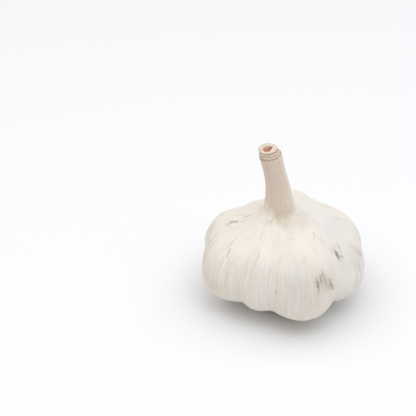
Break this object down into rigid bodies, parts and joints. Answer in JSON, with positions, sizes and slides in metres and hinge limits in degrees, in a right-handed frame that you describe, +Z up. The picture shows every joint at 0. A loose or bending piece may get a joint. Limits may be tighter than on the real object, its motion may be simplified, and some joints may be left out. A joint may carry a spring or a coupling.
{
  "type": "garlic bulb",
  "caption": "Whole garlic bulb: plump cloves under tight white papery skin, on a flat root plate, with a leaning dried neck trimmed to a short ringed stub.",
  "frame": {"origin": "centre of the flat root plate under the bulb, on the surface that the bulb stands on", "axes": "+Z up from the root plate to the neck, -Y towards the bulb's front, where one broad clove bulges low, and +X to its right; the neck leans towards -X"},
  "size_m": [0.0548, 0.0573, 0.0586],
  "materials": {
    "papery_skin": "satin",
    "neck_sheath": "matte",
    "neck_core": "matte",
    "root_plate": "matte"
  },
  "bodies": {
    "root": {"garlic_bulb": "papery_skin"}
  },
  "joints": []
}
